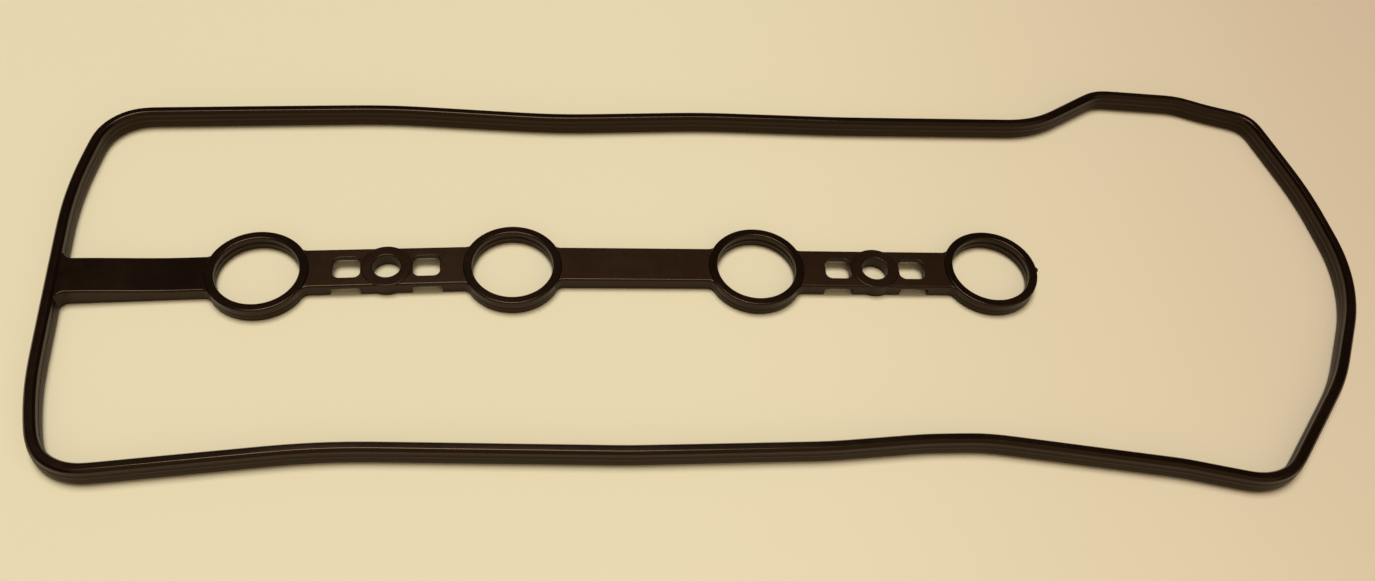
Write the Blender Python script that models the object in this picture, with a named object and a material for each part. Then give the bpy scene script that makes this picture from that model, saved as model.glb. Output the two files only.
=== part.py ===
"""Moulded rubber gasket for the valve cover of a four-cylinder engine, made in one piece.

A tall narrow bead follows the rim of the cover. A flat strip ties the bead's left side to a row of
four rings, which seal the spark plug tubes. Between rings one and two, and between rings three and
four, the strip carries a boss round a cover bolt, with a drain slot on each side of it.

The row of rings is the reference: ring one is centred on x = 0, y = 0 while the gasket is drawn, and
the finished gasket is then moved so that the middle of its footprint lies on the origin. All sizes
are in metres. The gasket lies flat, its feet on z = 0 and its crest up.
"""

import math

import bmesh
import bpy
from mathutils import Matrix, Vector

# Course of the bead: half the distance between its two long rails, how far it runs past the first
# and last ring, and how far it stands outside the rails at the timing chain end
RAIL_OFFSET = 0.0742
LEFT_OVERHANG = 0.0684
RIGHT_OVERHANG = 0.1414
CHAIN_END_OUT_AT_BACK = 0.0172
CHAIN_END_OUT_AT_FRONT = 0.0178
STEP_LENGTH_AT_BACK = 0.0306

# Bend radii of the bead's centre line
SLIGHT_BEND = 0.2500
SIDE_BEND = 0.1500
BROAD_BEND = 0.0800
STEP_BEND = 0.0400
SHOULDER_BEND = 0.0200
LEFT_CORNER_BEND = 0.0175
STEP_TOP_BEND = 0.0120
CHAIN_CORNER_BEND = 0.0090

# Section of the bead
BEAD_HEIGHT = 0.0080
BEAD_WIDTH = 0.0044
BEAD_WAIST_IN = 0.0003
BEAD_FOOT_FLAT = 0.0026
BEAD_FOOT_HEIGHT = 0.0022
BEAD_RIB_SLOPE = 0.0010
BEAD_CREST_FLAT = 0.0022
BEAD_CREST_ROUND = 0.0009

# Row of rings
RING_COUNT = 4
RING_PITCH = 0.0875
RING_BORE_RADIUS = 0.0143
RING_WALL = 0.0031
RING_HEIGHT = 0.0060
RING_EDGE_ROUND = 0.0005
RING_LIP_PROUD = 0.00035
RING_LIP_FOOT = 0.0016
RING_LIP_FLAT = 0.0005
RING_GROOVE_DEPTH = 0.00025
RING_GROOVE_WIDTH = 0.0016
# The soft row lies a little bowed: how far rings two and three have drifted towards the back
BOW_AT_SECOND = 0.0025
BOW_AT_THIRD = 0.0014

# Strip that carries the rings: a thin top plate on two side skirts, wider where it carries a boss
PLAIN_STRIP_WIDTH = 0.0148
BOLT_STRIP_WIDTH = 0.0164
STRIP_PLATE = 0.0018
STRIP_SKIRT = 0.0026
STRIP_EDGE_ROUND = 0.0006
STRIP_BELOW_RIM = 0.0007
# How far the soft strips have drifted towards the back, off the line through the rings' centres
FIRST_STRIP_DRIFT = 0.0009
SECOND_STRIP_DRIFT = 0.0011
THIRD_STRIP_DRIFT = -0.0002
STRIP_ABOVE_FLOOR = 0.0002
FLARE_RADIUS = 0.0030
# The strip meets the left side of the bead a little nearer the front than ring one, and rises to it
TIE_DRIFT = -0.0026
TIE_RISE_LENGTH = 0.0420
TIE_BELOW_CREST = 0.0009

# Bolt bosses and the slots beside them
BOSS_RADIUS = 0.0088
BOSS_HOLE_RADIUS = 0.0049
BOSS_ABOVE_STRIP = 0.0003
BOSS_EDGE_ROUND = 0.00035
SLOT_LENGTH = 0.0094
SLOT_WIDTH = 0.0088
SLOT_CORNER = 0.0024
SLOT_TO_BOSS = 0.0002
# The drain under a slot runs past the slot's ends, by more on the side away from the boss
DRAIN_PAST_INNER_END = 0.0002
DRAIN_PAST_OUTER_END = 0.0008
DRAIN_INTO_PLATE = 0.0001

# Pip left by the mould on the outside of the last ring
PIP_RADIUS = 0.0014
PIP_PROUD = 0.0009

# How finely round shapes are cut
RING_STEPS = 40
BOSS_STEPS = 28
SEAT_EXTRA_STEPS = 2
PIP_STEPS = 12
SLOT_CORNER_STEPS = 4
FLARE_STEPS = 4
TIE_SLOPE_STEPS = 6
BEND_STEP = math.radians(11)
# Where a quarter round is cut once, how far in from the corner the cut lies, as a share of its radius
QUARTER_MIDDLE = 1 - math.cos(math.pi / 4)
# A bend uses less than half of each side that it joins, and a flare less than its whole radius
BEND_SHARE = 0.48
FLARE_SHARE = 0.95
SHARP_ANGLE = math.radians(35)

# How far a cutter reaches past what it cuts, and how close two corners lie before they become one
OVERCUT = 0.0020
WELD = 0.00001


def ring_centre(index):
    """Centre of a plug tube ring, counted from nought at the left."""
    drift = (0.0, BOW_AT_SECOND, BOW_AT_THIRD, 0.0)[index]
    return Vector((index * RING_PITCH, drift, 0.0))


def back_corners(left, right):
    """Corners of the bead's centre line from the left side along the back, with their bend radii."""
    back = RAIL_OFFSET
    shoulder = back + CHAIN_END_OUT_AT_BACK
    first = ring_centre(0).x
    second = ring_centre(1).x
    third = ring_centre(2).x
    last = ring_centre(RING_COUNT - 1).x
    step = last + 0.0347
    return [
        (left, 0.0351, SIDE_BEND),
        (left + 0.0064, back + 0.0002, LEFT_CORNER_BEND),
        # the soft rail wanders by a few millimetres
        (first + 0.0395, back + 0.0035, SLIGHT_BEND),
        (second + 0.0169, back - 0.0006, SLIGHT_BEND),
        (third - 0.0145, back + 0.0015, SLIGHT_BEND),
        (third + 0.0397, back - 0.0002, SLIGHT_BEND),
        # step outwards round the timing chain case, and the slope down to its corner
        (step, back - 0.0005, STEP_BEND),
        (step + STEP_LENGTH_AT_BACK, shoulder, STEP_TOP_BEND),
        (right - 0.0411, shoulder - 0.0027, SHOULDER_BEND),
        (right - 0.0299, shoulder - 0.0075, SHOULDER_BEND),
        (right - 0.0121, back + 0.0040, CHAIN_CORNER_BEND),
    ]


def front_corners(left, right):
    """The rest of the corners: down the right side, then back along the front to the left side."""
    front = -RAIL_OFFSET
    first = ring_centre(0).x
    second = ring_centre(1).x
    third = ring_centre(2).x
    last = ring_centre(RING_COUNT - 1).x
    return [
        # right side
        (right - 0.0027, 0.0369, SIDE_BEND),
        (right, -0.0078, BROAD_BEND),
        (right - 0.0234, -0.0504, BROAD_BEND),
        # the front of the timing chain end, which draws in to the rail
        (right - 0.0595, front - CHAIN_END_OUT_AT_FRONT, SHOULDER_BEND),
        (last + 0.0480, front - 0.0093, STEP_BEND),
        (last - 0.0179, front + 0.0019, BROAD_BEND),
        (last - 0.0382, front + 0.0020, BROAD_BEND),
        # the soft rail wanders here too
        (third + 0.0165, front - 0.0001, SIDE_BEND),
        (second + 0.0374, front - 0.0002, SIDE_BEND),
        (first + 0.0278, front + 0.0035, SLIGHT_BEND),
        # left side
        (left + 0.0127, front - 0.0041, LEFT_CORNER_BEND),
        (left + 0.0048, -0.0505, SIDE_BEND),
    ]


def bead_corners():
    """All corners of the bead's centre line, clockwise from the left side as seen from above."""
    left = ring_centre(0).x - LEFT_OVERHANG
    right = ring_centre(RING_COUNT - 1).x + RIGHT_OVERHANG
    return back_corners(left, right) + front_corners(left, right)


def rounded_course(corners):
    """Points of a closed line with each corner replaced by an arc of its own radius."""
    points = []
    for index, (x, y, radius) in enumerate(corners):
        corner = Vector((x, y))
        before = Vector(corners[index - 1][:2]) - corner
        after = Vector(corners[(index + 1) % len(corners)][:2]) - corner
        turn = math.pi - before.angle(after)
        room = BEND_SHARE * min(before.length, after.length)
        reach = min(radius * math.tan(turn / 2), room)
        radius = reach / math.tan(turn / 2)
        start = corner + before.normalized() * reach
        middle = before.normalized() + after.normalized()
        centre = corner + middle.normalized() * radius / math.cos(turn / 2)
        side = math.copysign(1.0, before.cross(after))
        steps = max(2, math.ceil(turn / BEND_STEP))
        for step in range(steps + 1):
            swing = Matrix.Rotation(-side * turn * step / steps, 2)
            points.append(centre + swing @ (start - centre))
    return points


def bead_section():
    """Half of the bead's section from foot to crest, as distance from the middle and height."""
    half = BEAD_WIDTH / 2
    waist = half - BEAD_WAIST_IN
    rib = (BEAD_FOOT_HEIGHT + BEAD_HEIGHT - BEAD_CREST_ROUND) / 2
    return [
        (BEAD_FOOT_FLAT / 2, 0.0),
        (half, half - BEAD_FOOT_FLAT / 2),
        (half, BEAD_FOOT_HEIGHT),
        (waist, rib - BEAD_RIB_SLOPE),
        (half, rib),
        (waist, rib + BEAD_RIB_SLOPE),
        (waist, BEAD_HEIGHT - BEAD_CREST_ROUND),
        (BEAD_CREST_FLAT / 2, BEAD_HEIGHT),
    ]


def new_object(name, fill):
    """Object whose mesh is made by a function that is given an empty bmesh to fill."""
    shape = bmesh.new()
    fill(shape)
    bmesh.ops.recalc_face_normals(shape, faces=shape.faces)
    mesh = bpy.data.meshes.new(name)
    shape.to_mesh(mesh)
    shape.free()
    result = bpy.data.objects.new(name, mesh)
    bpy.context.scene.collection.objects.link(result)
    return result


def join_sections(shape, sections, closed):
    """Skin a row of sections, each a closed loop with the same count of points."""
    loops = [[shape.verts.new(point) for point in section] for section in sections]
    count = len(loops[0])
    pairs = list(zip(loops, loops[1:]))
    if closed:
        pairs.append((loops[-1], loops[0]))
    for here, there in pairs:
        for index in range(count):
            after = (index + 1) % count
            shape.faces.new((here[index], here[after], there[after], there[index]))
    if not closed:
        shape.faces.new(loops[0])
        shape.faces.new(loops[-1])


def make_bead(course):
    """The bead's section carried round its course, mitred at each point."""
    half = bead_section()
    section = half + [(-across, height) for across, height in reversed(half)]

    def fill(shape):
        sections = []
        for index, point in enumerate(course):
            arriving = (point - course[index - 1]).normalized()
            leaving = (course[(index + 1) % len(course)] - point).normalized()
            along = (arriving + leaving).normalized()
            outwards = Vector((-along.y, along.x)) / along.dot(leaving)
            row = []
            for across, height in section:
                place = point + outwards * across
                row.append((place.x, place.y, height))
            sections.append(row)
        join_sections(shape, sections, closed=True)

    return new_object("cover_gasket", fill)


def turned(name, profile, centre, steps):
    """Ring-shaped solid: a closed profile spun about an upright axis."""

    def fill(shape):
        verts = [shape.verts.new((radius, 0.0, height)) for radius, height in profile]
        edges = [shape.edges.new(pair) for pair in zip(verts, verts[1:] + verts[:1])]
        bmesh.ops.spin(
            shape, geom=verts + edges, axis=(0, 0, 1), cent=(0, 0, 0),
            angle=2 * math.pi, steps=steps, use_merge=True)
        bmesh.ops.translate(shape, verts=shape.verts, vec=centre)

    return new_object(name, fill)


def post(name, radius, bottom, top, centre, steps):
    """Plain upright cylinder."""

    def fill(shape):
        bmesh.ops.create_cone(
            shape, cap_ends=True, segments=steps,
            radius1=radius, radius2=radius, depth=top - bottom)
        lift = Vector((0.0, 0.0, (bottom + top) / 2))
        bmesh.ops.translate(shape, verts=shape.verts, vec=centre + lift)

    return new_object(name, fill)


def ring_outer_radius():
    """Outside radius of a plug tube ring."""
    return RING_BORE_RADIUS + RING_WALL


def ring_profile():
    """Section of a ring's wall: a sealing lip round the bore, a shallow groove round the outside."""
    inside = RING_BORE_RADIUS
    outside = ring_outer_radius()
    middle = RING_HEIGHT / 2
    ease = RING_EDGE_ROUND
    return [
        (inside + ease, 0.0),
        (outside - ease, 0.0),
        (outside, ease),
        (outside, middle - RING_GROOVE_WIDTH / 2),
        (outside - RING_GROOVE_DEPTH, middle),
        (outside, middle + RING_GROOVE_WIDTH / 2),
        (outside, RING_HEIGHT - ease),
        (outside - ease, RING_HEIGHT),
        (inside + ease, RING_HEIGHT),
        (inside, RING_HEIGHT - ease),
        (inside, middle + RING_LIP_FOOT / 2),
        (inside - RING_LIP_PROUD, middle + RING_LIP_FLAT / 2),
        (inside - RING_LIP_PROUD, middle - RING_LIP_FLAT / 2),
        (inside, middle - RING_LIP_FOOT / 2),
        (inside, ease),
    ]


def boss_profile():
    """Section of a boss's wall: a plain sleeve that stands a little proud of the strip."""
    top = strip_top() + BOSS_ABOVE_STRIP
    ease = BOSS_EDGE_ROUND
    return [
        (BOSS_HOLE_RADIUS, 0.0),
        (BOSS_RADIUS, 0.0),
        (BOSS_RADIUS, top - ease),
        (BOSS_RADIUS - ease, top),
        (BOSS_HOLE_RADIUS + ease, top),
        (BOSS_HOLE_RADIUS, top - ease),
    ]


def strip_top():
    """Height of the strip's upper face between the rings."""
    return RING_HEIGHT - STRIP_BELOW_RIM


def strip_drift(index):
    """How far the strip after a ring lies behind the rings' line."""
    return (FIRST_STRIP_DRIFT, SECOND_STRIP_DRIFT, THIRD_STRIP_DRIFT)[index]


def strip_sides(index):
    """How far the strip after a ring reaches from the rings' line to the back and to the front."""
    width = (BOLT_STRIP_WIDTH, PLAIN_STRIP_WIDTH, BOLT_STRIP_WIDTH)[index]
    return width / 2 + strip_drift(index), width / 2 - strip_drift(index)


def flared(side, depth):
    """Reach of one side of the strip at a depth into its flare."""
    return side + FLARE_RADIUS - math.sqrt(FLARE_RADIUS ** 2 - depth ** 2)


def ring_flare_reach(side):
    """Distance from a ring's centre at which one side of the strip starts to flare."""
    across = side + FLARE_RADIUS
    return math.sqrt((ring_outer_radius() + FLARE_RADIUS) ** 2 - across ** 2)


def ring_flare(side, distance):
    """Reach of one side of the strip at a distance from a ring's centre: it flares to meet the ring."""
    reach = ring_flare_reach(side)
    touch = reach * ring_outer_radius() / (ring_outer_radius() + FLARE_RADIUS)
    return flared(side, min(max(reach - distance, 0.0), reach - touch))


def bead_flare_reach():
    """Distance from the bead's centre line at which the strip starts to flare."""
    return BEAD_WIDTH / 2 + FLARE_RADIUS


def bead_flare(side, distance):
    """Reach of one side of the strip at a distance from the bead's centre line."""
    return flared(side, min(max(bead_flare_reach() - distance, 0.0), FLARE_SHARE * FLARE_RADIUS))


def flare_stations(far_end):
    """Distances from an end at which the flare's curve is cut."""
    stations = []
    for step in range(FLARE_STEPS + 1):
        share = 1 - math.sin(math.pi / 2 * step / FLARE_STEPS)
        stations.append(far_end - FLARE_RADIUS * share)
    return stations


def strip_edge(side, top):
    """Points up one side of the strip and round its upper edge."""
    ease = STRIP_EDGE_ROUND
    cut = ease * QUARTER_MIDDLE
    return [
        (side, STRIP_ABOVE_FLOOR),
        (side, top - ease),
        (side - cut, top - cut),
        (side - ease, top),
    ]


def strip_section(distance, back, front, top):
    """Channel section: plate on top, a skirt down each side, open underneath."""
    under = strip_top() - STRIP_PLATE
    outline = strip_edge(back, top)
    outline += [(-across, height) for across, height in reversed(strip_edge(front, top))]
    outline += [
        (STRIP_SKIRT - front, STRIP_ABOVE_FLOOR),
        (STRIP_SKIRT - front, under),
        (back - STRIP_SKIRT, under),
        (back - STRIP_SKIRT, STRIP_ABOVE_FLOOR),
    ]
    return [(distance, across, height) for across, height in outline]


def make_strip(name, start, end, sections):
    """A length of strip from one point to another, skinned over its sections."""
    along = end - start
    turn = Matrix.Rotation(math.atan2(along.y, along.x), 4, "Z")

    def fill(shape):
        join_sections(shape, sections, closed=False)
        shape.transform(Matrix.Translation((start.x, start.y, 0.0)) @ turn)

    return new_object(name, fill)


def stations_at_ring(back, front):
    """Distances from a ring's centre at which the strip is cut, from inside the bore outwards."""
    narrower = min(back, front)
    return [RING_BORE_RADIUS / 2] + flare_stations(ring_flare_reach(narrower))


def strip_between_rings(index):
    """The strip from inside one ring's bore to inside the next one's."""
    start = ring_centre(index)
    end = ring_centre(index + 1)
    length = (end - start).length
    back, front = strip_sides(index)
    near = stations_at_ring(back, front)
    stations = near + [length - distance for distance in reversed(near)]
    sections = []
    for distance in stations:
        to_ring = min(distance, length - distance)
        sections.append(strip_section(
            distance, ring_flare(back, to_ring), ring_flare(front, to_ring), strip_top()))
    return make_strip("strip_" + str(index + 1), start, end, sections)


def tie_start(course):
    """Where the tie strip's centre line crosses the left side of the bead."""
    crossings = []
    for here, there in zip(course, course[1:] + course[:1]):
        if min(here.y, there.y) <= TIE_DRIFT < max(here.y, there.y):
            share = (TIE_DRIFT - here.y) / (there.y - here.y)
            crossings.append(here.x + share * (there.x - here.x))
    return Vector((min(crossings), TIE_DRIFT, 0.0))


def tie_strip(course):
    """The strip from the left side of the bead to the first ring. It rises to meet the bead."""
    start = tie_start(course)
    end = ring_centre(0)
    length = (end - start).length
    at_bead = [0.0] + flare_stations(bead_flare_reach())[1:]
    slope_step = TIE_RISE_LENGTH / TIE_SLOPE_STEPS
    on_slope = [slope_step * step for step in range(2, TIE_SLOPE_STEPS + 1)]
    side = PLAIN_STRIP_WIDTH / 2
    at_ring = [length - distance for distance in reversed(stations_at_ring(side, side))]
    rise = BEAD_HEIGHT - TIE_BELOW_CREST - strip_top()
    sections = []
    for distance in at_bead + on_slope + at_ring:
        reach = max(bead_flare(side, distance), ring_flare(side, length - distance))
        left_to_go = max(0.0, 1 - distance / TIE_RISE_LENGTH)
        ease = left_to_go * left_to_go * (3 - 2 * left_to_go)
        sections.append(strip_section(distance, reach, reach, strip_top() + rise * ease))
    return make_strip("tie_strip", start, end, sections)


def boss_places():
    """Centre of each boss, on its strip midway between two rings, and the strip's direction there."""
    places = []
    for index in (0, RING_COUNT - 2):
        before = ring_centre(index)
        after = ring_centre(index + 1)
        along = (after - before).normalized()
        to_back = Vector((-along.y, along.x, 0.0))
        places.append(((before + after) / 2 + to_back * strip_drift(index), along))
    return places


def slot_cutter(name, place, turn):
    """Slot with rounded corners, cut right through."""
    half_length = SLOT_LENGTH / 2 - SLOT_CORNER
    half_width = SLOT_WIDTH / 2 - SLOT_CORNER

    def fill(shape):
        outline = []
        for quarter, (sign_x, sign_y) in enumerate(((1, 1), (-1, 1), (-1, -1), (1, -1))):
            for step in range(SLOT_CORNER_STEPS + 1):
                angle = math.pi / 2 * (quarter + step / SLOT_CORNER_STEPS)
                x = sign_x * half_length + SLOT_CORNER * math.cos(angle)
                y = sign_y * half_width + SLOT_CORNER * math.sin(angle)
                outline.append(shape.verts.new((x, y, -OVERCUT)))
        face = shape.faces.new(outline)
        raised = bmesh.ops.extrude_face_region(shape, geom=[face])["geom"]
        lifted = [item for item in raised if isinstance(item, bmesh.types.BMVert)]
        bmesh.ops.translate(shape, verts=lifted, vec=(0, 0, RING_HEIGHT + 2 * OVERCUT))
        shape.transform(Matrix.Translation(place) @ turn)

    return new_object(name, fill)


def drain_cutter(name, place, turn):
    """Gap under a slot, cut through both skirts so that oil can run off the strip."""
    length = SLOT_LENGTH + DRAIN_PAST_INNER_END + DRAIN_PAST_OUTER_END
    across = BOLT_STRIP_WIDTH + 2 * OVERCUT
    roof = strip_top() - STRIP_PLATE + DRAIN_INTO_PLATE
    height = roof + OVERCUT

    def fill(shape):
        bmesh.ops.create_cube(shape, size=1.0)
        bmesh.ops.scale(shape, verts=shape.verts, vec=(length, across, height))
        middle = Vector((place.x, place.y, roof - height / 2))
        shape.transform(Matrix.Translation(middle) @ turn)

    return new_object(name, fill)


def boolean(target, tool, operation):
    """Add or take away one shape from the gasket, and keep the tool out of the finished model."""
    step = target.modifiers.new(operation.lower() + "_" + tool.name, "BOOLEAN")
    step.object = tool
    step.operation = operation
    step.solver = "EXACT"
    tool.hide_render = True
    tool.display_type = "WIRE"


def join_turned(gasket, name, profile, wall_middle, centre, steps):
    """Cut the strip back to the middle of a turned part's wall, then join the turned part."""
    seat = post(
        name + "_seat", wall_middle, -OVERCUT, BEAD_HEIGHT + OVERCUT,
        centre, steps + SEAT_EXTRA_STEPS)
    boolean(gasket, seat, "DIFFERENCE")
    boolean(gasket, turned(name, profile, centre, steps), "UNION")


def add_strips(gasket, course):
    """The tie strip and the three lengths between rings."""
    boolean(gasket, tie_strip(course), "UNION")
    for index in range(RING_COUNT - 1):
        boolean(gasket, strip_between_rings(index), "UNION")


def add_rings(gasket):
    """The four plug tube rings."""
    wall_middle = RING_BORE_RADIUS + RING_WALL / 2
    for index in range(RING_COUNT):
        name = "ring_" + str(index + 1)
        join_turned(gasket, name, ring_profile(), wall_middle, ring_centre(index), RING_STEPS)


def add_bosses(gasket):
    """The two bolt bosses."""
    wall_middle = (BOSS_RADIUS + BOSS_HOLE_RADIUS) / 2
    for number, (centre, _) in enumerate(boss_places(), start=1):
        name = "boss_" + str(number)
        join_turned(gasket, name, boss_profile(), wall_middle, centre, BOSS_STEPS)


def add_pip(gasket):
    """Small upright pip on the free side of the last ring."""
    out = ring_outer_radius() + PIP_PROUD - PIP_RADIUS
    centre = ring_centre(RING_COUNT - 1) + Vector((out, 0.0, 0.0))
    pip = post("mould_pip", PIP_RADIUS, STRIP_ABOVE_FLOOR, strip_top(), centre, PIP_STEPS)
    boolean(gasket, pip, "UNION")


def cut_slots(gasket):
    """A slot through the plate on each side of a boss, and the drain under it through both skirts."""
    to_slot = BOSS_RADIUS + SLOT_TO_BOSS + SLOT_LENGTH / 2
    to_drain = to_slot + (DRAIN_PAST_OUTER_END - DRAIN_PAST_INNER_END) / 2
    for number, (centre, along) in enumerate(boss_places(), start=1):
        turn = Matrix.Rotation(math.atan2(along.y, along.x), 4, "Z")
        for side, word in ((-1, "left"), (1, "right")):
            name = "_" + word + "_of_boss_" + str(number)
            slot = slot_cutter("slot" + name, centre + along * side * to_slot, turn)
            drain = drain_cutter("drain" + name, centre + along * side * to_drain, turn)
            boolean(gasket, slot, "DIFFERENCE")
            boolean(gasket, drain, "DIFFERENCE")


def centre_on_origin(gasket):
    """Bake the modifiers and move the gasket so that its footprint is centred on the origin."""
    evaluated = gasket.evaluated_get(bpy.context.evaluated_depsgraph_get())
    finished = bpy.data.meshes.new_from_object(evaluated)
    gasket.modifiers.clear()
    gasket.data = finished
    shape = bmesh.new()
    shape.from_mesh(finished)
    bmesh.ops.remove_doubles(shape, verts=shape.verts, dist=WELD)
    bmesh.ops.dissolve_degenerate(shape, edges=shape.edges, dist=WELD)
    shape.to_mesh(finished)
    shape.free()
    xs = [vertex.co.x for vertex in finished.vertices]
    ys = [vertex.co.y for vertex in finished.vertices]
    middle = Vector(((min(xs) + max(xs)) / 2, (min(ys) + max(ys)) / 2, 0.0))
    finished.transform(Matrix.Translation(-middle))


def rubber():
    """Dark brown-black moulded rubber with a dull sheen."""
    material = bpy.data.materials.new("moulded_rubber")
    material.use_nodes = True
    shader = material.node_tree.nodes["Principled BSDF"]
    shader.inputs["Base Color"].default_value = (0.020, 0.014, 0.010, 1.0)
    shader.inputs["Roughness"].default_value = 0.55
    shader.inputs["Metallic"].default_value = 0.0
    return material


def finish_surface(gasket):
    """Give the gasket its rubber, with smooth rounds and sharp moulded edges."""
    gasket.data.materials.clear()
    gasket.data.materials.append(rubber())
    gasket.data.shade_smooth()
    gasket.data.set_sharp_from_angle(angle=SHARP_ANGLE)


def build():
    """Make the gasket: the bead, then what is joined to it, then what is cut from it."""
    for old in list(bpy.data.objects):
        bpy.data.objects.remove(old)
    course = rounded_course(bead_corners())
    gasket = make_bead(course)
    add_strips(gasket, course)
    add_rings(gasket)
    add_bosses(gasket)
    add_pip(gasket)
    cut_slots(gasket)
    centre_on_origin(gasket)
    finish_surface(gasket)


build()
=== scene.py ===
# %% [markdown]
# # A moulded rubber gasket for a valve cover
#
# The gasket seals the cover over the camshafts of a four-cylinder engine. It is one moulding: a tall
# narrow bead follows the rim of the cover, and a flat strip carries four rings that seal the tubes of
# the spark plugs. Between rings one and two, and between rings three and four, the strip has a boss
# for a cover bolt with a drain slot on each side.
#
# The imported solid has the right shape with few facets. This lesson models the same moulding again
# with fine rounds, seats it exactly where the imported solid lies, and gives it the finish of dull
# brown-black rubber. All lengths are in metres, with x along the row of rings and z up.

import math

import bmesh
import bpy
import numpy as np
from mathutils import Matrix, Vector


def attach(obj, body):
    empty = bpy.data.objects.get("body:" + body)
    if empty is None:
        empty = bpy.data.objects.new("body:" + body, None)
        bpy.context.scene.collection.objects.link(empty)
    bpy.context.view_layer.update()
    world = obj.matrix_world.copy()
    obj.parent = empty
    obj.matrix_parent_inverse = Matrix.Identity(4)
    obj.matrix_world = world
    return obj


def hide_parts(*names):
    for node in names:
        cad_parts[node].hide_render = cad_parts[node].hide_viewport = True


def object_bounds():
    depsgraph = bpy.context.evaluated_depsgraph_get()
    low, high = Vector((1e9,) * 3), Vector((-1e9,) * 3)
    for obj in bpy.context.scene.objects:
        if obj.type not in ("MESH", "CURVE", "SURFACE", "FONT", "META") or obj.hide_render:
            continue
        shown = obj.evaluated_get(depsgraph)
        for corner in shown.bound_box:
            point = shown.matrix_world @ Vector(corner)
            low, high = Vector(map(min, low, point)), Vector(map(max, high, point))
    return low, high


NODE = "cover_gasket"

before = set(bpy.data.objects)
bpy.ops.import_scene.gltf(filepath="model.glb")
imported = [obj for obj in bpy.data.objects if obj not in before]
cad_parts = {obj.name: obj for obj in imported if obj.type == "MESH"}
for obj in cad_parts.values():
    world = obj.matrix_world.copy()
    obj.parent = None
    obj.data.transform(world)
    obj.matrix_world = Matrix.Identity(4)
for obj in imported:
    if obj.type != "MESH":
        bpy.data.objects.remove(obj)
cad_low, cad_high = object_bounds()
print("packed solid, mm:", [round(1000 * side, 2) for side in cad_high - cad_low])

# %% [markdown]
# ## Rounding corners
#
# Moulds have no sharp inside corners, because the cutter that makes them is round, so almost every
# line of this gasket is a polygon whose corners are arcs. One helper serves them all: the course of
# the bead seen from above, the section of the bead, the profile of a ring, and the outline of a slot.
# Each corner is given with its own radius. The arc starts where its tangent leaves the side, which is
# radius times the tangent of half the turn away from the corner.

# %% Round the corners of a closed line
ARC_CUT = math.radians(20)
ARC_SHARE_OF_SIDE = 0.49
ARC_TOLERANCE = 1e-6


def rounded(corners, cut=ARC_CUT):
    """Points of a closed line whose (x, y, radius) corners are arcs, in chords of at most a cut."""
    points = []
    for index, (x, y, radius) in enumerate(corners):
        corner = Vector((x, y))
        if radius == 0.0:
            points.append(corner)
            continue
        before = Vector(corners[index - 1][:2]) - corner
        after = Vector(corners[(index + 1) % len(corners)][:2]) - corner
        turn = math.pi - before.angle(after)
        room = ARC_SHARE_OF_SIDE * min(before.length, after.length)
        reach = min(radius * math.tan(turn / 2), room)
        radius = reach / math.tan(turn / 2)
        start = corner + before.normalized() * reach
        middle = (before.normalized() + after.normalized()).normalized()
        centre = corner + middle * radius / math.cos(turn / 2)
        side = math.copysign(1.0, before.cross(after))
        steps = max(1, math.ceil(turn / cut - ARC_TOLERANCE))
        for step in range(steps + 1):
            swing = Matrix.Rotation(-side * turn * step / steps, 2)
            points.append(centre + swing @ (start - centre))
    return points


square = rounded([(0, 0, 1), (9, 0, 1), (9, 9, 1), (0, 9, 1)])
print("a square with round corners has", len(square), "points")

# %% [markdown]
# ## The course of the bead
#
# The bead follows the rim of the cover: two long rails, a plain end on the left, and on the right the
# wider end over the timing chain. The rubber is soft and lies loose, so the rails wander from straight
# by a few millimetres. A curve object with a bevel could follow such a line, but it would twist and
# scale its section at the bends. Here the corners are rounded, the line is cut into even steps, and
# each point is eased towards its neighbours, as soft rubber evens out a bend. The two overhangs are a
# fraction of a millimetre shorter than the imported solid's, because these finer arcs reach a little
# further out than its chords do.

# %% Places of the rings, and the corners of the bead
RING_COUNT = 4
RING_PITCH = 0.0875
BOW_AT_SECOND = 0.0025
BOW_AT_THIRD = 0.0014

RAIL_OFFSET = 0.0742
LEFT_OVERHANG = 0.0682
RIGHT_OVERHANG = 0.1413
CHAIN_END_OUT_AT_BACK = 0.0172
CHAIN_END_OUT_AT_FRONT = 0.0178
STEP_LENGTH_AT_BACK = 0.0306
STEP_PAST_LAST_RING = 0.0347

SLIGHT_BEND = 0.2500
SIDE_BEND = 0.1500
BROAD_BEND = 0.0800
STEP_BEND = 0.0400
SHOULDER_BEND = 0.0200
LEFT_CORNER_BEND = 0.0175
STEP_TOP_BEND = 0.0120
CHAIN_CORNER_BEND = 0.0090


def ring_centre(index):
    """Centre of a plug tube ring, counted from nought at the left, before seating on the frame."""
    drift = (0.0, BOW_AT_SECOND, BOW_AT_THIRD, 0.0)[index]
    return Vector((index * RING_PITCH, drift, 0.0))


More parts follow.
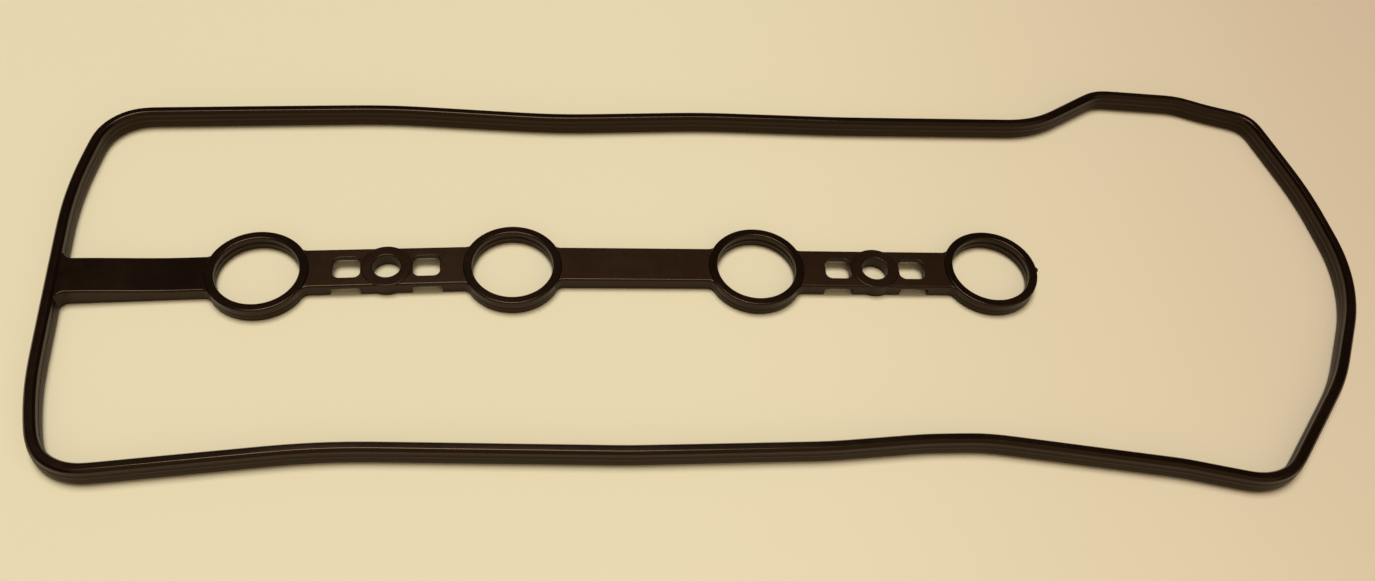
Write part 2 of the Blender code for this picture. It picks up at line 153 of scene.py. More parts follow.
def bead_corners():
    """Corners of the bead's centre line, clockwise from the left side, each with its bend radius."""
    first, second, third, last = (ring_centre(index).x for index in range(RING_COUNT))
    left = first - LEFT_OVERHANG
    right = last + RIGHT_OVERHANG
    back = RAIL_OFFSET
    front = -RAIL_OFFSET
    shoulder = back + CHAIN_END_OUT_AT_BACK
    step = last + STEP_PAST_LAST_RING
    along_back = [
        (left, 0.0351, SIDE_BEND),
        (left + 0.0064, back + 0.0002, LEFT_CORNER_BEND),
        (first + 0.0395, back + 0.0035, SLIGHT_BEND),
        (second + 0.0169, back - 0.0006, SLIGHT_BEND),
        (third - 0.0145, back + 0.0015, SLIGHT_BEND),
        (third + 0.0397, back - 0.0002, SLIGHT_BEND),
    ]
    chain_end = [
        (step, back - 0.0005, STEP_BEND),
        (step + STEP_LENGTH_AT_BACK, shoulder, STEP_TOP_BEND),
        (right - 0.0411, shoulder - 0.0027, SHOULDER_BEND),
        (right - 0.0299, shoulder - 0.0075, SHOULDER_BEND),
        (right - 0.0121, back + 0.0040, CHAIN_CORNER_BEND),
        (right - 0.0027, 0.0369, SIDE_BEND),
        (right, -0.0078, BROAD_BEND),
        (right - 0.0234, -0.0504, BROAD_BEND),
        (right - 0.0595, front - CHAIN_END_OUT_AT_FRONT, SHOULDER_BEND),
        (last + 0.0480, front - 0.0093, STEP_BEND),
    ]
    along_front = [
        (last - 0.0179, front + 0.0019, BROAD_BEND),
        (last - 0.0382, front + 0.0020, BROAD_BEND),
        (third + 0.0165, front - 0.0001, SIDE_BEND),
        (second + 0.0374, front - 0.0002, SIDE_BEND),
        (first + 0.0278, front + 0.0035, SLIGHT_BEND),
        (left + 0.0127, front - 0.0041, LEFT_CORNER_BEND),
        (left + 0.0048, -0.0505, SIDE_BEND),
    ]
    return along_back + chain_end + along_front


print("the bead turns at", len(bead_corners()), "corners")

# %% [markdown]
# ## Even steps
#
# The rounded line has long straight sides and short chords in its corners. A section swept along it
# looks best when its stations are evenly spaced, so the line is measured out again in equal steps.
# A weighted mean of neighbouring points then takes out the last hard changes of bend.

# %% Cut the course into even steps and ease it
COURSE_CUT = math.radians(2)
COURSE_SPACING = 0.0020
EASE_SPREAD = 1.1
EASE_TAIL = 4


def even_line(points, spacing):
    """The same closed line as an array of evenly spaced points."""
    closed = np.array([tuple(point) for point in points + points[:1]])
    travelled = np.concatenate([[0.0], np.cumsum(np.linalg.norm(np.diff(closed, axis=0), axis=1))])
    count = round(travelled[-1] / spacing)
    places = np.linspace(0.0, travelled[-1], count, endpoint=False)
    return np.column_stack([np.interp(places, travelled, closed[:, axis]) for axis in (0, 1)])


def eased(line, spread):
    """Each point moved to the weighted mean of its neighbours along a closed line."""
    reach = math.ceil(EASE_TAIL * spread)
    weights = np.exp(-0.5 * (np.arange(-reach, reach + 1) / spread) ** 2)
    weights /= weights.sum()
    padded = np.concatenate([line[-reach:], line, line[:reach]])
    return np.column_stack([np.convolve(padded[:, axis], weights, mode="valid") for axis in (0, 1)])


course = eased(even_line(rounded(bead_corners(), COURSE_CUT), COURSE_SPACING), EASE_SPREAD)
around = np.roll(course, -1, axis=0) - np.roll(course, 1, axis=0)
along = around / np.linalg.norm(around, axis=1)[:, None]
outwards = np.column_stack([-along[:, 1], along[:, 0]])
print("bead:", len(course), "stations,", round(COURSE_SPACING * len(course), 3), "m round")

# %% [markdown]
# ## The section of the bead
#
# The bead stands in a groove of the cover and is squeezed between its foot and its crest. Its sides
# are waisted, with a rib at half height that keeps it from falling out of the groove. The two halves
# of the mould meet on that rib, and leave a hair-thin line of flash there. The section is drawn once,
# for the right-hand side, and mirrored.

# %% Section of the bead
BEAD_HEIGHT = 0.0080
BEAD_WIDTH = 0.0044
BEAD_WAIST_IN = 0.0003
BEAD_FOOT_FLAT = 0.0026
BEAD_FOOT_HEIGHT = 0.0022
BEAD_RIB_SLOPE = 0.0010
BEAD_CREST_FLAT = 0.0022
BEAD_CREST_ROUND = 0.0009
FOOT_RADIUS = 0.0008
SIDE_RADIUS = 0.0009
CREST_RADIUS = 0.0007
FLASH_PROUD = 0.00010
FLASH_HALF_WIDTH = 0.00008


def bead_outline():
    """The whole section of the bead as (across, height) points, from the right foot upwards."""
    half = BEAD_WIDTH / 2
    waist = half - BEAD_WAIST_IN
    rib = (BEAD_FOOT_HEIGHT + BEAD_HEIGHT - BEAD_CREST_ROUND) / 2
    right_side = [
        (BEAD_FOOT_FLAT / 2, 0.0, FOOT_RADIUS),
        (half, half - BEAD_FOOT_FLAT / 2, FOOT_RADIUS),
        (half, BEAD_FOOT_HEIGHT, SIDE_RADIUS),
        (waist, rib - BEAD_RIB_SLOPE, SIDE_RADIUS),
        (half - FLASH_PROUD, rib - FLASH_HALF_WIDTH, 0.0),
        (half, rib, 0.0),
        (half - FLASH_PROUD, rib + FLASH_HALF_WIDTH, 0.0),
        (waist, rib + BEAD_RIB_SLOPE, SIDE_RADIUS),
        (waist, BEAD_HEIGHT - BEAD_CREST_ROUND, CREST_RADIUS),
        (BEAD_CREST_FLAT / 2, BEAD_HEIGHT, CREST_RADIUS),
    ]
    left_side = [(-across, height, radius) for across, height, radius in reversed(right_side)]
    return rounded(right_side + left_side)


section = np.array([tuple(point) for point in bead_outline()])
print("bead section:", len(section), "points")

# %% [markdown]
# ## Sweeping the section
#
# The section is set up at each station of the course, square to the line, and neighbouring sections
# are joined by four-sided faces. Loose rubber never stands quite upright: the bead leans by up to
# about a degree, one way and then the other. The lean is a sum of a few sine waves with a whole
# number of waves round the loop, so that it closes on itself.

# %% Mesh helpers
def new_mesh_object(name, fill):
    """Object whose mesh is made by a function that is given an empty bmesh to fill."""
    shape = bmesh.new()
    fill(shape)
    bmesh.ops.recalc_face_normals(shape, faces=shape.faces)
    mesh = bpy.data.meshes.new(name)
    shape.to_mesh(mesh)
    shape.free()
    made = bpy.data.objects.new(name, mesh)
    bpy.context.scene.collection.objects.link(made)
    return made


def join_loops(shape, loops, closed):
    """Skin a row of loops that have the same count of points, capped at its ends unless it closes."""
    rows = [[shape.verts.new(point) for point in loop] for loop in loops]
    pairs = list(zip(rows, rows[1:]))
    if closed:
        pairs.append((rows[-1], rows[0]))
    for here, there in pairs:
        for index in range(len(here)):
            after = (index + 1) % len(here)
            shape.faces.new((here[index], here[after], there[after], there[index]))
    if not closed:
        shape.faces.new(rows[0])
        shape.faces.new(rows[-1])


print("mesh helpers ready")

# %% The bead
# Waves round the loop, degrees of lean, and where each wave starts
LEAN_WAVES = ((3, 0.6, 0.4), (8, 0.4, 2.1), (17, 0.3, 4.4))


def lean_angles(count):
    """How far the bead leans outwards at each station, in radians."""
    turn = np.linspace(0.0, 2 * math.pi, count, endpoint=False)
    waves = [degrees * np.sin(number * turn + start) for number, degrees, start in LEAN_WAVES]
    return np.radians(sum(waves))


def fill_bead(shape):
    """Skin the bead over sections that lean about their middle, with every foot on the table."""
    above_middle = section[:, 1] - BEAD_HEIGHT / 2
    loops = []
    for place, out, lean in zip(course, outwards, lean_angles(len(course))):
        across = section[:, 0] * math.cos(lean) + above_middle * math.sin(lean)
        height = above_middle * math.cos(lean) - section[:, 0] * math.sin(lean)
        height = np.clip(height - height.min(), 0.0, BEAD_HEIGHT)
        flat = place + across[:, None] * out
        loops.append(np.column_stack([flat, height]))
    join_loops(shape, loops, closed=True)


bead = new_mesh_object("bead", fill_bead)
print("bead:", len(bead.data.polygons), "faces")

# %% [markdown]
# ## Turned rings and bosses
#
# A ring and a boss are bodies of revolution, so their wall is drawn as a closed profile and spun. The
# ring has a lip round the inside, which grips the plug tube, and a shallow groove round the outside.

# %% Profiles of the rings and bosses
RING_BORE_RADIUS = 0.0143
RING_WALL = 0.0031
RING_HEIGHT = 0.0060
RING_EDGE_ROUND = 0.0005
RING_LIP_PROUD = 0.00035
RING_LIP_FOOT = 0.0016
RING_LIP_FLAT = 0.0005
RING_GROOVE_DEPTH = 0.00025
RING_GROOVE_WIDTH = 0.0016
RING_SOFT = 0.0007
RING_STEPS = 144

STRIP_BELOW_RIM = 0.0007
STRIP_TOP = RING_HEIGHT - STRIP_BELOW_RIM
STRIP_DRIFTS = (0.0009, 0.0011, -0.0002)
BOSS_RADIUS = 0.0088
BOSS_HOLE_RADIUS = 0.0049
BOSS_ABOVE_STRIP = 0.0003
BOSS_EDGE_ROUND = 0.00035
BOSS_STEPS = 96


def ring_profile():
    """The ring's wall as (radius, height) points."""
    inside = RING_BORE_RADIUS
    outside = inside + RING_WALL
    middle = RING_HEIGHT / 2
    return rounded([
        (inside, 0.0, RING_EDGE_ROUND),
        (outside, 0.0, RING_EDGE_ROUND),
        (outside, middle - RING_GROOVE_WIDTH / 2, RING_SOFT),
        (outside - RING_GROOVE_DEPTH, middle, RING_SOFT),
        (outside, middle + RING_GROOVE_WIDTH / 2, RING_SOFT),
        (outside, RING_HEIGHT, RING_EDGE_ROUND),
        (inside, RING_HEIGHT, RING_EDGE_ROUND),
        (inside, middle + RING_LIP_FOOT / 2, RING_SOFT),
        (inside - RING_LIP_PROUD, middle + RING_LIP_FLAT / 2, RING_SOFT),
        (inside - RING_LIP_PROUD, middle - RING_LIP_FLAT / 2, RING_SOFT),
        (inside, middle - RING_LIP_FOOT / 2, RING_SOFT),
    ])


def boss_profile():
    """The boss's wall as (radius, height) points."""
    top = STRIP_TOP + BOSS_ABOVE_STRIP
    return rounded([
        (BOSS_HOLE_RADIUS, 0.0, BOSS_EDGE_ROUND),
        (BOSS_RADIUS, 0.0, BOSS_EDGE_ROUND),
        (BOSS_RADIUS, top, BOSS_EDGE_ROUND),
        (BOSS_HOLE_RADIUS, top, BOSS_EDGE_ROUND),
    ])


print("ring profile:", len(ring_profile()), "points, boss profile:", len(boss_profile()), "points")

# %% Rings and bosses
def add_turned(shape, profile, centre, steps):
    """Spin a closed profile about the upright line through a place."""
    loops = []
    for step in range(steps):
        angle = 2 * math.pi * step / steps
        direction = Vector((math.cos(angle), math.sin(angle), 0.0))
        loops.append([centre + direction * point.x + Vector((0, 0, point.y)) for point in profile])
    join_loops(shape, loops, closed=True)


def boss_places():
    """Centre of each boss, on its strip midway between two rings, and the strip's direction there."""
    places = []
    for index in (0, RING_COUNT - 2):
        before = ring_centre(index)
        after = ring_centre(index + 1)
        direction = (after - before).normalized()
        to_back = Vector((-direction.y, direction.x, 0.0))
        places.append(((before + after) / 2 + to_back * STRIP_DRIFTS[index], direction))
    return places


def fill_rings(shape):
    """All four rings."""
    for index in range(RING_COUNT):
        add_turned(shape, ring_profile(), ring_centre(index), RING_STEPS)


def fill_bosses(shape):
    """Both bosses."""
    for centre, direction in boss_places():
        add_turned(shape, boss_profile(), centre, BOSS_STEPS)


rings = new_mesh_object("rings", fill_rings)
bosses = new_mesh_object("bosses", fill_bosses)
print("rings:", len(rings.data.polygons), "faces, bosses:", len(bosses.data.polygons), "faces")

# %% [markdown]
# ## The strip
#
# The strip is a channel turned upside down: a thin plate on top, a skirt down each side. It is wider
# where it carries a boss. The soft strips have drifted a little off the line through the rings'
# centres, so each section is given its reach to the back and to the front by itself. Seen from above
# a strip flares where it meets a ring or the bead, as a fillet in the mould does.

# %% Sizes and flares of the strip
PLAIN_STRIP_WIDTH = 0.0148
PLAIN_SIDE = PLAIN_STRIP_WIDTH / 2
BOLT_STRIP_WIDTH = 0.0164
STRIP_WIDTHS = (BOLT_STRIP_WIDTH, PLAIN_STRIP_WIDTH, BOLT_STRIP_WIDTH)
STRIP_PLATE = 0.0018
STRIP_SKIRT = 0.0026
STRIP_EDGE_ROUND = 0.0006
STRIP_CHANNEL_ROUND = 0.0005
STRIP_FOOT_ROUND = 0.0003
STRIP_ABOVE_FLOOR = 0.0002
FLARE_RADIUS = 0.0030
FLARE_SHARE = 0.97
FLARE_SPACING = 0.00022
PLATE_SPACING = 0.0030
TIE_DRIFT = -0.0026
TIE_RISE_LENGTH = 0.0420
TIE_BELOW_CREST = 0.0009
RING_OUTER_RADIUS = RING_BORE_RADIUS + RING_WALL


def flared(side, depth):
    """Reach of one side of a strip at a depth into its flare."""
    return side + FLARE_RADIUS - math.sqrt(FLARE_RADIUS ** 2 - depth ** 2)


def ring_flare_ends(side):
    """Distances from a ring's centre at which a side's flare touches the ring, and at which it starts."""
    reach = math.sqrt((RING_OUTER_RADIUS + FLARE_RADIUS) ** 2 - (side + FLARE_RADIUS) ** 2)
    return reach * RING_OUTER_RADIUS / (RING_OUTER_RADIUS + FLARE_RADIUS), reach


def ring_flare(side, distance):
    """Reach of one side of a strip at a distance from a ring's centre."""
    touch, reach = ring_flare_ends(side)
    return flared(side, min(max(reach - distance, 0.0), reach - touch))


def bead_flare(side, distance):
    """Reach of one side of the tie strip at a distance from the bead's centre line."""
    reach = BEAD_WIDTH / 2 + FLARE_RADIUS
    return flared(side, min(max(reach - distance, 0.0), FLARE_SHARE * FLARE_RADIUS))


tie_flare_start = ring_flare_ends(PLAIN_SIDE)[1]
print("the tie strip starts to flare", round(1000 * tie_flare_start, 2), "mm from a ring's centre")

# %% [markdown]
# ## Skinning the strips
#
# A length of strip is a row of channel sections, close together in the flares and far apart between
# them. It is drawn along x from nought and then laid from one ring to the next. Each length runs on
# into the bore of its rings, and is trimmed there later. The tie strip runs into the bead instead, and
# rises on its way to it.

# %% Stations and sections
def even_stations(start, end, spacing):
    """Evenly spaced distances from a start up to, but without, an end."""
    count = max(1, round((end - start) / spacing))
    return [start + (end - start) * step / count for step in range(count)]


def ring_stations(back, front):
    """Distances from a ring's centre at which its strip is cut: one inside the bore, then the flares."""
    touches, reaches = zip(ring_flare_ends(back), ring_flare_ends(front))
    return [RING_BORE_RADIUS / 2] + even_stations(min(touches), max(reaches), FLARE_SPACING)


def strip_section(distance, back, front, top):
    """Section of the channel at a distance along its strip."""
    under = STRIP_TOP - STRIP_PLATE
    foot = STRIP_ABOVE_FLOOR
    outline = rounded([
        (back, foot, STRIP_FOOT_ROUND),
        (back, top, STRIP_EDGE_ROUND),
        (-front, top, STRIP_EDGE_ROUND),
        (-front, foot, STRIP_FOOT_ROUND),
        (STRIP_SKIRT - front, foot, STRIP_FOOT_ROUND),
        (STRIP_SKIRT - front, under, STRIP_CHANNEL_ROUND),
        (back - STRIP_SKIRT, under, STRIP_CHANNEL_ROUND),
        (back - STRIP_SKIRT, foot, STRIP_FOOT_ROUND),
    ])
    return [Vector((distance, point.x, point.y)) for point in outline]


def laid_along(spot, direction):
    """Placement at a spot, with x turned along a level direction."""
    turn = Matrix.Rotation(math.atan2(direction.y, direction.x), 4, "Z")
    return Matrix.Translation(spot) @ turn


def moved(place, loops):
    """Loops of points, put through a placement."""
    return [[place @ point for point in loop] for loop in loops]


def add_strip(shape, start, end, sections):
    """Skin one length of strip and lay it from its start towards its end."""
    join_loops(shape, moved(laid_along(start, end - start), sections), closed=False)


plain_section = strip_section(0.0, PLAIN_SIDE, PLAIN_SIDE, STRIP_TOP)
print("channel section:", len(plain_section), "points")

# %% Skin the strips
def add_ring_strips(shape):
    """The three lengths between rings."""
    for index, width in enumerate(STRIP_WIDTHS):
        start = ring_centre(index)
        end = ring_centre(index + 1)
        length = (end - start).length
        back = width / 2 + STRIP_DRIFTS[index]
        front = width / 2 - STRIP_DRIFTS[index]
        at_ring = ring_stations(back, front)
        middle = even_stations(at_ring[-1] + FLARE_SPACING, length - at_ring[-1], PLATE_SPACING)
        loops = []
        for distance in at_ring + middle + [length - distance for distance in reversed(at_ring)]:
            to_ring = min(distance, length - distance)
            loops.append(strip_section(
                distance, ring_flare(back, to_ring), ring_flare(front, to_ring), STRIP_TOP))
        add_strip(shape, start, end, loops)


def tie_start():
    """Where the tie strip's centre line crosses the left side of the bead."""
    near_left = course[(course[:, 0] < 0) & (np.abs(course[:, 1] - TIE_DRIFT) < 2 * COURSE_SPACING)]
    place = near_left[np.argsort(near_left[:, 1])]
    return Vector((np.interp(TIE_DRIFT, place[:, 1], place[:, 0]), TIE_DRIFT, 0.0))


def tie_top(distance):
    """Height of the tie strip's upper face at a distance from the bead: it rises softly to meet it."""
    left_to_go = max(0.0, 1 - distance / TIE_RISE_LENGTH)
    ease = left_to_go * left_to_go * (3 - 2 * left_to_go)
    return STRIP_TOP + (BEAD_HEIGHT - TIE_BELOW_CREST - STRIP_TOP) * ease


def add_tie(shape):
    """The tie strip from the bead to the first ring."""
    start = tie_start()
    end = ring_centre(0)
    length = (end - start).length
    at_bead = even_stations(0.0, BEAD_WIDTH / 2 + FLARE_RADIUS, FLARE_SPACING)
    at_ring = [length - distance for distance in reversed(ring_stations(PLAIN_SIDE, PLAIN_SIDE))]
    middle = even_stations(at_bead[-1] + FLARE_SPACING, at_ring[0], PLATE_SPACING)
    loops = []
    for distance in at_bead + middle + at_ring:
        reach = max(bead_flare(PLAIN_SIDE, distance), ring_flare(PLAIN_SIDE, length - distance))
        loops.append(strip_section(distance, reach, reach, tie_top(distance)))
    add_strip(shape, start, end, loops)


def fill_strips(shape):
    """All four lengths of strip."""
    add_ring_strips(shape)
    add_tie(shape)


strips = new_mesh_object("strips", fill_strips)
print("strips:", len(strips.data.polygons), "faces")

# %% [markdown]
# ## Cutters for the seats, slots and drains
#
# The strips run on into the rings and bosses, so what lies inside the middle of a wall is cut away
# before the turned bodies are joined on. A slot is cut right through the plate, with a small round on
# its upper rim. Under each slot the skirts are notched, so that oil can drain off the strip sideways.

# %% Cutters for the seats
OVERCUT = 0.0020
SEAT_EXTRA_STEPS = 2


def level_circle(centre, radius, height, steps, first=0.0):
    """Points of a level circle above a centre, starting a share of a step round."""
    angles = [2 * math.pi * (step + first) / steps for step in range(steps)]
    return [
        centre + Vector((radius * math.cos(angle), radius * math.sin(angle), height))
        for angle in angles]


def fill_seats(places, radius, steps):
    """Filler for plain posts that clear the inside of each turned body."""

    def fill(shape):
        heights = (-OVERCUT, BEAD_HEIGHT + OVERCUT)
        for centre in places:
            loops = [level_circle(centre, radius, height, steps) for height in heights]
            join_loops(shape, loops, closed=False)

    return fill


ring_seats = new_mesh_object("ring_seats", fill_seats(
    [ring_centre(index) for index in range(RING_COUNT)],
    RING_BORE_RADIUS + RING_WALL / 2, RING_STEPS + SEAT_EXTRA_STEPS))
boss_seats = new_mesh_object("boss_seats", fill_seats(
    [centre for centre, direction in boss_places()],
    (BOSS_HOLE_RADIUS + BOSS_RADIUS) / 2, BOSS_STEPS + SEAT_EXTRA_STEPS))
print("seats:", len(ring_seats.data.polygons) + len(boss_seats.data.polygons), "faces")

# %% Cutters for the slots and drains
SLOT_LENGTH = 0.0094
SLOT_WIDTH = 0.0088
SLOT_CORNER = 0.0024
SLOT_TO_BOSS = 0.0002
SLOT_RIM_ROUND = 0.0003
SLOT_CUT = math.radians(9)
RIM_STEPS = 4
DRAIN_PAST_INNER_END = 0.0002
DRAIN_PAST_OUTER_END = 0.0008
DRAIN_INTO_PLATE = 0.0001
DRAIN_CORNER = 0.0005

# From the middle of a boss to the middle of a slot, and of a drain
TO_SLOT = BOSS_RADIUS + SLOT_TO_BOSS + SLOT_LENGTH / 2
TO_DRAIN = TO_SLOT + (DRAIN_PAST_OUTER_END - DRAIN_PAST_INNER_END) / 2


def beside_bosses(distance):
    """Placements on both sides of each boss, at a distance along its strip."""
    return [
        laid_along(centre + direction * side * distance, direction)
        for centre, direction in boss_places()
        for side in (-1, 1)]


def edge_round(radius, steps):
    """Pairs up a rounded upper edge: how far in from the side, how far below the top."""
    angles = [math.pi / 2 * step / steps for step in range(steps + 1)]
    return [(radius * (1 - math.cos(angle)), radius * (1 - math.sin(angle))) for angle in angles]


def slot_loop(grow, height):
    """Outline of a slot, grown by a little all round, at a height."""
    x = SLOT_LENGTH / 2 + grow
    y = SLOT_WIDTH / 2 + grow
    corner = SLOT_CORNER + grow
    outline = rounded([(x, y, corner), (-x, y, corner), (-x, -y, corner), (x, -y, corner)], SLOT_CUT)
    return [Vector((point.x, point.y, height)) for point in outline]


def fill_slots(shape):
    """The four slots, each flaring at its upper rim."""
    loops = [slot_loop(0.0, -OVERCUT)]
    loops += [slot_loop(grow, STRIP_TOP - down) for grow, down in edge_round(SLOT_RIM_ROUND, RIM_STEPS)]
    loops.append(slot_loop(SLOT_RIM_ROUND, STRIP_TOP + OVERCUT))
    for place in beside_bosses(TO_SLOT):
        join_loops(shape, moved(place, loops), closed=False)


def fill_drains(shape):
    """The notches under the slots, through both skirts."""
    roof = STRIP_TOP - STRIP_PLATE + DRAIN_INTO_PLATE
    half = (SLOT_LENGTH + DRAIN_PAST_INNER_END + DRAIN_PAST_OUTER_END) / 2
    reach = BOLT_STRIP_WIDTH / 2 + OVERCUT
    outline = rounded([
        (half, roof, DRAIN_CORNER),
        (-half, roof, DRAIN_CORNER),
        (-half, -OVERCUT, 0.0),
        (half, -OVERCUT, 0.0),
    ])
    ends = [[Vector((point.x, y, point.y)) for point in outline] for y in (-reach, reach)]
    for place in beside_bosses(TO_DRAIN):
        join_loops(shape, moved(place, ends), closed=False)


slots = new_mesh_object("slots", fill_slots)
drains = new_mesh_object("drains", fill_drains)
print("slots:", len(slots.data.polygons), "faces, drains:", len(drains.data.polygons), "faces")

# %% [markdown]
# ## The pip
#
# A small upright pip stands on the free side of the last ring. Such a pip marks where rubber left the
# mould. Its top edge is rounded like the rest.

# %% The pip
PIP_RADIUS = 0.0014
PIP_PROUD = 0.0009
PIP_EDGE_ROUND = 0.0003
PIP_STEPS = 40
PIP_FIRST_STEP = 0.5


def fill_pip(shape):
    """A short post with a rounded top edge, half sunk in the wall of the last ring."""
    out = RING_OUTER_RADIUS + PIP_PROUD - PIP_RADIUS
    centre = ring_centre(RING_COUNT - 1) + Vector((out, 0.0, 0.0))
    loops = [level_circle(centre, PIP_RADIUS, STRIP_ABOVE_FLOOR, PIP_STEPS, PIP_FIRST_STEP)]
    for inwards, down in edge_round(PIP_EDGE_ROUND, RIM_STEPS):
        radius = PIP_RADIUS - inwards
        loops.append(level_circle(centre, radius, STRIP_TOP - down, PIP_STEPS, PIP_FIRST_STEP))
    join_loops(shape, loops, closed=False)


pip = new_mesh_object("pip", fill_pip)
print("pip:", len(pip.data.polygons), "faces")

# %% [markdown]
# ## One moulding
#
# The shapes are joined into a single closed surface, as the mould makes a single body. The order
# matters: the seats are cut before the turned bodies go in, and the slots come last. The exact solver
# is used because it keeps every round as it was drawn.

# %% Join and cut
WELD = 0.000001


def combine(target, tool, operation):
    """Add or take away a tool for good, and throw the tool away."""
    step = target.modifiers.new(operation.lower(), "BOOLEAN")
    step.object = tool
    step.operation = operation
    step.solver = "EXACT"
    evaluated = target.evaluated_get(bpy.context.evaluated_depsgraph_get())
    result = bpy.data.meshes.new_from_object(evaluated)
    target.modifiers.clear()
    target.data = result
    bpy.data.objects.remove(tool)


combine(strips, ring_seats, "DIFFERENCE")
combine(strips, rings, "UNION")
combine(strips, boss_seats, "DIFFERENCE")
combine(strips, bosses, "UNION")
combine(strips, slots, "DIFFERENCE")
combine(strips, drains, "DIFFERENCE")
combine(strips, pip, "UNION")
combine(bead, strips, "UNION")
print("joined:", len(bead.data.polygons), "faces")

# %% [markdown]
# ## Seating the surface on the frame
#
# Cuts and joins leave points that all but coincide, so these are welded. The finer surface is then
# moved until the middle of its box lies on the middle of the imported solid's box, with its feet on the
# same floor. An edge that has other than two faces would be a hole or a fin, so they are counted.

# %% Weld, seat on the frame and check that the surface is closed
shape = bmesh.new()
shape.from_mesh(bead.data)
bmesh.ops.remove_doubles(shape, verts=shape.verts, dist=WELD)
bmesh.ops.dissolve_degenerate(shape, edges=shape.edges, dist=WELD)
low = Vector([min(vertex.co[axis] for vertex in shape.verts) for axis in range(3)])
high = Vector([max(vertex.co[axis] for vertex in shape.verts) for axis in range(3)])
to_frame = (cad_low + cad_high - low - high) / 2
to_frame.z = cad_low.z - low.z
bmesh.ops.translate(shape, verts=shape.verts, vec=to_frame)
open_edges = [edge for edge in shape.edges if len(edge.link_faces) != 2]
triangles = sum(len(face.verts) - 2 for face in shape.faces)
print("open edges:", len(open_edges), "triangles:", triangles)
print("moved onto the frame by, mm:", [round(1000 * step, 3) for step in to_frame])

gasket_mesh = bpy.data.meshes.new("rubber_gasket")
shape.to_mesh(gasket_mesh)
shape.free()
bpy.data.objects.remove(bead)
gasket = bpy.data.objects.new("rubber_gasket", gasket_mesh)
bpy.context.scene.collection.objects.link(gasket)

# %% [markdown]
# ## Smooth shading
#
# Smooth shading blends the facets of the arcs into rounds, and edges that turn by more than an angle
# stay crisp. The cuts left long thin faces, and the modifier for weighted normals lets the large
# faces decide, so that the flat plate shades flat.

# %% Shade it smooth with crisp moulded edges
SHARP_ANGLE = math.radians(38)

gasket_mesh.shade_smooth()
gasket_mesh.set_sharp_from_angle(angle=SHARP_ANGLE)
even_normals = gasket.modifiers.new("even_normals", "WEIGHTED_NORMAL")
even_normals.mode = "FACE_AREA"
even_normals.keep_sharp = True

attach(gasket, "root")
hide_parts(NODE)
print("gasket:", len(gasket_mesh.vertices), "points")

# %% [markdown]
# ## Shader maths
#
# The finishes are sums of noise and masks. Written as nodes one by one, such sums are hard to read, so
# a small class wraps a node's output and turns sums, products and one minus a mask into Math nodes. A
# second class holds one material and makes every other node by a single method.

# %% A socket that can be used in sums
class Signal:
    """A number that varies over a surface: the output of a node, ready for ordinary arithmetic."""

    def __init__(self, recipe, output):
        self.recipe = recipe
        self.output = output

    def maths(self, operation, first, second):
        return self.recipe.node("ShaderNodeMath", {"operation": operation}, {0: first, 1: second})

    def __add__(self, other):
        return self.maths("ADD", self, other)

    def __radd__(self, other):
        return self.maths("ADD", other, self)

    def __rsub__(self, other):
        return self.maths("SUBTRACT", other, self)

    def __mul__(self, other):
        return self.maths("MULTIPLY", self, other)

    def __rmul__(self, other):
        return self.maths("MULTIPLY", other, self)


class Recipe:
    """One material, with its principled shader and a method that adds any node."""

    def __init__(self, name):
        self.material = bpy.data.materials.new(name)
        self.material.use_nodes = True
        self.tree = self.material.node_tree
        self.shader = self.tree.nodes["Principled BSDF"]

    def node(self, kind, settings, inputs, output=0):
        """Make a node: first its settings, then its sockets by name or number."""
        made = self.tree.nodes.new(kind)
        for name, value in settings.items():
            setattr(made, name, value)
        for name, value in inputs.items():
            self.feed(made.inputs[name], value)
        return Signal(self, made.outputs[output])

    def feed(self, socket, value):
        """Link a signal to a socket, or set the socket to a plain value."""
        if isinstance(value, Signal):
            self.tree.links.new(value.output, socket)
        else:
            socket.default_value = value

    def finish(self, **inputs):
        """Feed the principled shader by the names of its sockets, with a low line for each space."""
        for name, value in inputs.items():
            self.feed(self.shader.inputs[name.replace("_", " ")], value)
        return self.material


print("shader helpers ready")

# %% [markdown]
# ## Colours, masks and noise
#
# Colours that were judged on a screen are turned into amounts of light, which is what a shader adds
# up. A mask says how much of a finish a spot gets, and its soft edge keeps finishes from meeting in a
# hard line. Noise textures are worked out from the place in space, so they need no picture.

# %% Colours and masks
def srgb(red, green, blue):
    """A screen colour in steps of 255, as the amounts of light that the sRGB standard gives it."""
    values = []
    for step in (red, green, blue):
        share = step / 255
        values.append(share / 12.92 if share <= 0.04045 else ((share + 0.055) / 1.055) ** 2.4)
    return (*values, 1.0)


MIX_FACTOR, MIX_FIRST, MIX_SECOND, MIX_COLOUR = 0, 6, 7, 2


def mix_colours(recipe, factor, first, second):
    """Blend two colours, each plain or a signal."""
    return recipe.node(
        "ShaderNodeMix", {"data_type": "RGBA"},
        {MIX_FACTOR: factor, MIX_FIRST: first, MIX_SECOND: second}, MIX_COLOUR)


def smooth_mask(recipe, value, low_edge, high_edge):
    """Nought below one value, one above another, and a soft change between them."""
    return recipe.node(
        "ShaderNodeMapRange", {"interpolation_type": "SMOOTHSTEP"},
        {"Value": value, "From Min": low_edge, "From Max": high_edge})


def noise(recipe, place, scale, detail, roughness):
    """Cloudy noise from nought to one, with features about one over the scale in metres."""
    return recipe.node(
        "ShaderNodeTexNoise", {},
        {"Vector": place, "Scale": scale, "Detail": detail, "Roughness": roughness})


def spots(recipe, place, scale):
    """Distance to the nearest of many scattered points, which lie about one over the scale apart."""
    return recipe.node("ShaderNodeTexVoronoi", {}, {"Vector": place, "Scale": scale}, "Distance")


